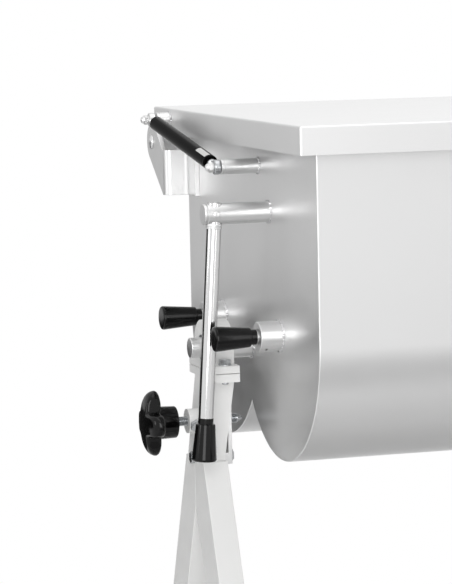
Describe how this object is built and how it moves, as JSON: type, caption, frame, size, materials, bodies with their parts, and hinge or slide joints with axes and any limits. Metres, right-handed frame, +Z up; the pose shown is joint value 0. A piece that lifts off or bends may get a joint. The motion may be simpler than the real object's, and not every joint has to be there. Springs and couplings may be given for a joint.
{
  "type": "meat mixer",
  "caption": "Tilting meat mixer: lidded double trough with paddle shafts, gas spring, tilting handle, pivot post with lock screw, stand and drive cabinet.",
  "frame": {"origin": "on the floor, midway between the paddle shafts and at the middle of the machine's length", "axes": "+X along the tank from the pivot post to the drive cabinet, +Y towards the lid's hinges, +Z up"},
  "size_m": [1.043, 0.7, 0.9567],
  "materials": {
    "stainless_sheet": "brushed stainless sheet",
    "lid_sheet": "fine glass-blasted stainless sheet",
    "turned_steel": "turned stainless bar",
    "polished_bar": "polished round bar",
    "black_bakelite": "gloss moulded bakelite",
    "black_lacquer": "gloss black lacquer",
    "pale_paint": "pale powder coat",
    "mixing_steel": "polished stainless",
    "gear_steel": "machined steel",
    "bronze": "bearing bronze",
    "grey_cast": "painted casting",
    "white_rubber": "food grade rubber",
    "black_rubber": "moulded rubber",
    "green_button": "moulded",
    "black_button": "moulded",
    "red_button": "moulded"
  },
  "bodies": {
    "stand": {"post": "pale_paint", "pillow_block": "pale_paint", "pivot_bush": "bronze", "m8_bolts": "turned_steel", "inner_strap": "stainless_sheet", "front_leg": "pale_paint", "rear_leg": "pale_paint", "floor_bar": "pale_paint", "stretchers": "pale_paint", "levelling_feet": "black_rubber", "pivot_bearing": "pale_paint", "gearbox": "grey_cast", "drive_motor": "grey_cast", "cabinet": "pale_paint", "service_panel": "stainless_sheet", "panel_screws": "turned_steel", "control_plate": "stainless_sheet", "cable_gland": "black_rubber"},
    "tank": {"tank_wrap": "stainless_sheet", "left_plate": "stainless_sheet", "right_plate": "stainless_sheet", "left_trunnion": "turned_steel", "right_trunnion": "turned_steel", "front_boss": "turned_steel", "rear_boss": "turned_steel", "plunger_springs": "gear_steel", "shaft_bushes": "bronze", "gear_case": "stainless_sheet", "gear_cover": "stainless_sheet", "cover_screws": "turned_steel", "handle_socket": "turned_steel", "set_screw": "turned_steel", "strut_stud": "turned_steel", "left_bracket": "stainless_sheet", "right_bracket": "stainless_sheet", "hinge_pins": "turned_steel"},
    "lid": {"lid_pan": "lid_sheet", "lid_seal": "white_rubber", "lid_stud": "turned_steel"},
    "strut_rod": {"strut_rod": "turned_steel"},
    "strut_cylinder": {"strut_cylinder": "black_lacquer"},
    "tilt_handle": {"handle_bar": "polished_bar", "handle_grip": "black_bakelite"},
    "front_release": {"front_plunger": "turned_steel", "front_grip": "black_bakelite"},
    "rear_release": {"rear_plunger": "turned_steel", "rear_grip": "black_bakelite"},
    "lock_screw": {"lock_spindle": "turned_steel"},
    "lock_knob": {"lock_knob": "black_bakelite"},
    "drive": {"drive_shaft": "turned_steel"},
    "front_mixer": {"front_gear": "gear_steel", "front_shaft": "mixing_steel", "front_paddles": "mixing_steel"},
    "rear_mixer": {"rear_gear": "gear_steel", "rear_shaft": "mixing_steel", "rear_paddles": "mixing_steel"},
    "forward_button": {"forward_button": "green_button"},
    "reverse_button": {"reverse_button": "black_button"},
    "stop_button": {"stop_button": "red_button"}
  },
  "joints": [
    {"name": "tank_tilt", "type": "hinge", "parent": "stand", "child": "tank", "pos_m": [-0.3805, 0, 0.67563], "axis": [1, 0, 0], "range_deg": [0, 60]},
    {"name": "lid_hinge", "type": "hinge", "parent": "tank", "child": "lid", "pos_m": [-0.0805, 0.311, 0.911], "axis": [-1, 0, 0], "range_deg": [0, 80]},
    {"name": "strut_swing", "type": "hinge", "parent": "tank", "child": "strut_rod", "pos_m": [-0.4325, -0.044, 0.898], "axis": [1, 0, 0], "range_deg": [0, 2.85]},
    {"name": "strut_slide", "type": "slide", "parent": "strut_rod", "child": "strut_cylinder", "axis": [0, 0.9887, 0.1498], "range_m": [0, 0.0841]},
    {"name": "handle_slide", "type": "slide", "parent": "tank", "child": "tilt_handle", "axis": [0.0645, 0, 0.9979], "range_m": [0, 0.141]},
    {"name": "front_release_pull", "type": "slide", "parent": "tank", "child": "front_release", "axis": [-1, 0, 0], "range_m": [0, 0.014], "stiffness_N_per_m": 800, "springref_m": -0.02},
    {"name": "rear_release_pull", "type": "slide", "parent": "tank", "child": "rear_release", "axis": [-1, 0, 0], "range_m": [0, 0.014], "stiffness_N_per_m": 800, "springref_m": -0.02},
    {"name": "lock_slide", "type": "slide", "parent": "stand", "child": "lock_screw", "axis": [1, 0, 0], "range_m": [0, 0.013]},
    {"name": "lock_turn", "type": "hinge", "parent": "lock_screw", "child": "lock_knob", "pos_m": [-0.4905, 0, 0.586], "axis": [1, 0, 0], "range_deg": [0, 2670]},
    {"name": "front_mixer_spin", "type": "hinge", "parent": "tank", "child": "front_mixer", "pos_m": [-0.0805, -0.1175, 0.7], "axis": [1, 0, 0], "continuous": true},
    {"name": "rear_mixer_spin", "type": "hinge", "parent": "tank", "child": "rear_mixer", "pos_m": [-0.0805, 0.1175, 0.7], "axis": [1, 0, 0], "continuous": true},
    {"name": "drive_spin", "type": "hinge", "parent": "tank", "child": "drive", "pos_m": [0.2695, 0, 0.67563], "axis": [1, 0, 0], "continuous": true},
    {"name": "forward_press", "type": "slide", "parent": "stand", "child": "forward_button", "axis": [0, 1, 0], "range_m": [0, 0.004], "stiffness_N_per_m": 500, "springref_m": -0.002},
    {"name": "reverse_press", "type": "slide", "parent": "stand", "child": "reverse_button", "axis": [0, 1, 0], "range_m": [0, 0.004], "stiffness_N_per_m": 500, "springref_m": -0.002},
    {"name": "stop_press", "type": "slide", "parent": "stand", "child": "stop_button", "axis": [0, 1, 0], "range_m": [0, 0.004], "stiffness_N_per_m": 500, "springref_m": -0.002}
  ],
  "couplings": [
    {"joint": "strut_swing", "follows": "lid_hinge", "ratio": 0.034387},
    {"joint": "strut_slide", "follows": "lid_hinge", "m_per_rad": 0.059862},
    {"joint": "handle_slide", "follows": "tank_tilt", "m_per_rad": 0.13369},
    {"joint": "lock_slide", "follows": "lock_turn", "m_per_rad": 0.00027852},
    {"joint": "rear_mixer_spin", "follows": "front_mixer_spin", "ratio": 1},
    {"joint": "drive_spin", "follows": "front_mixer_spin", "ratio": -3}
  ]
}
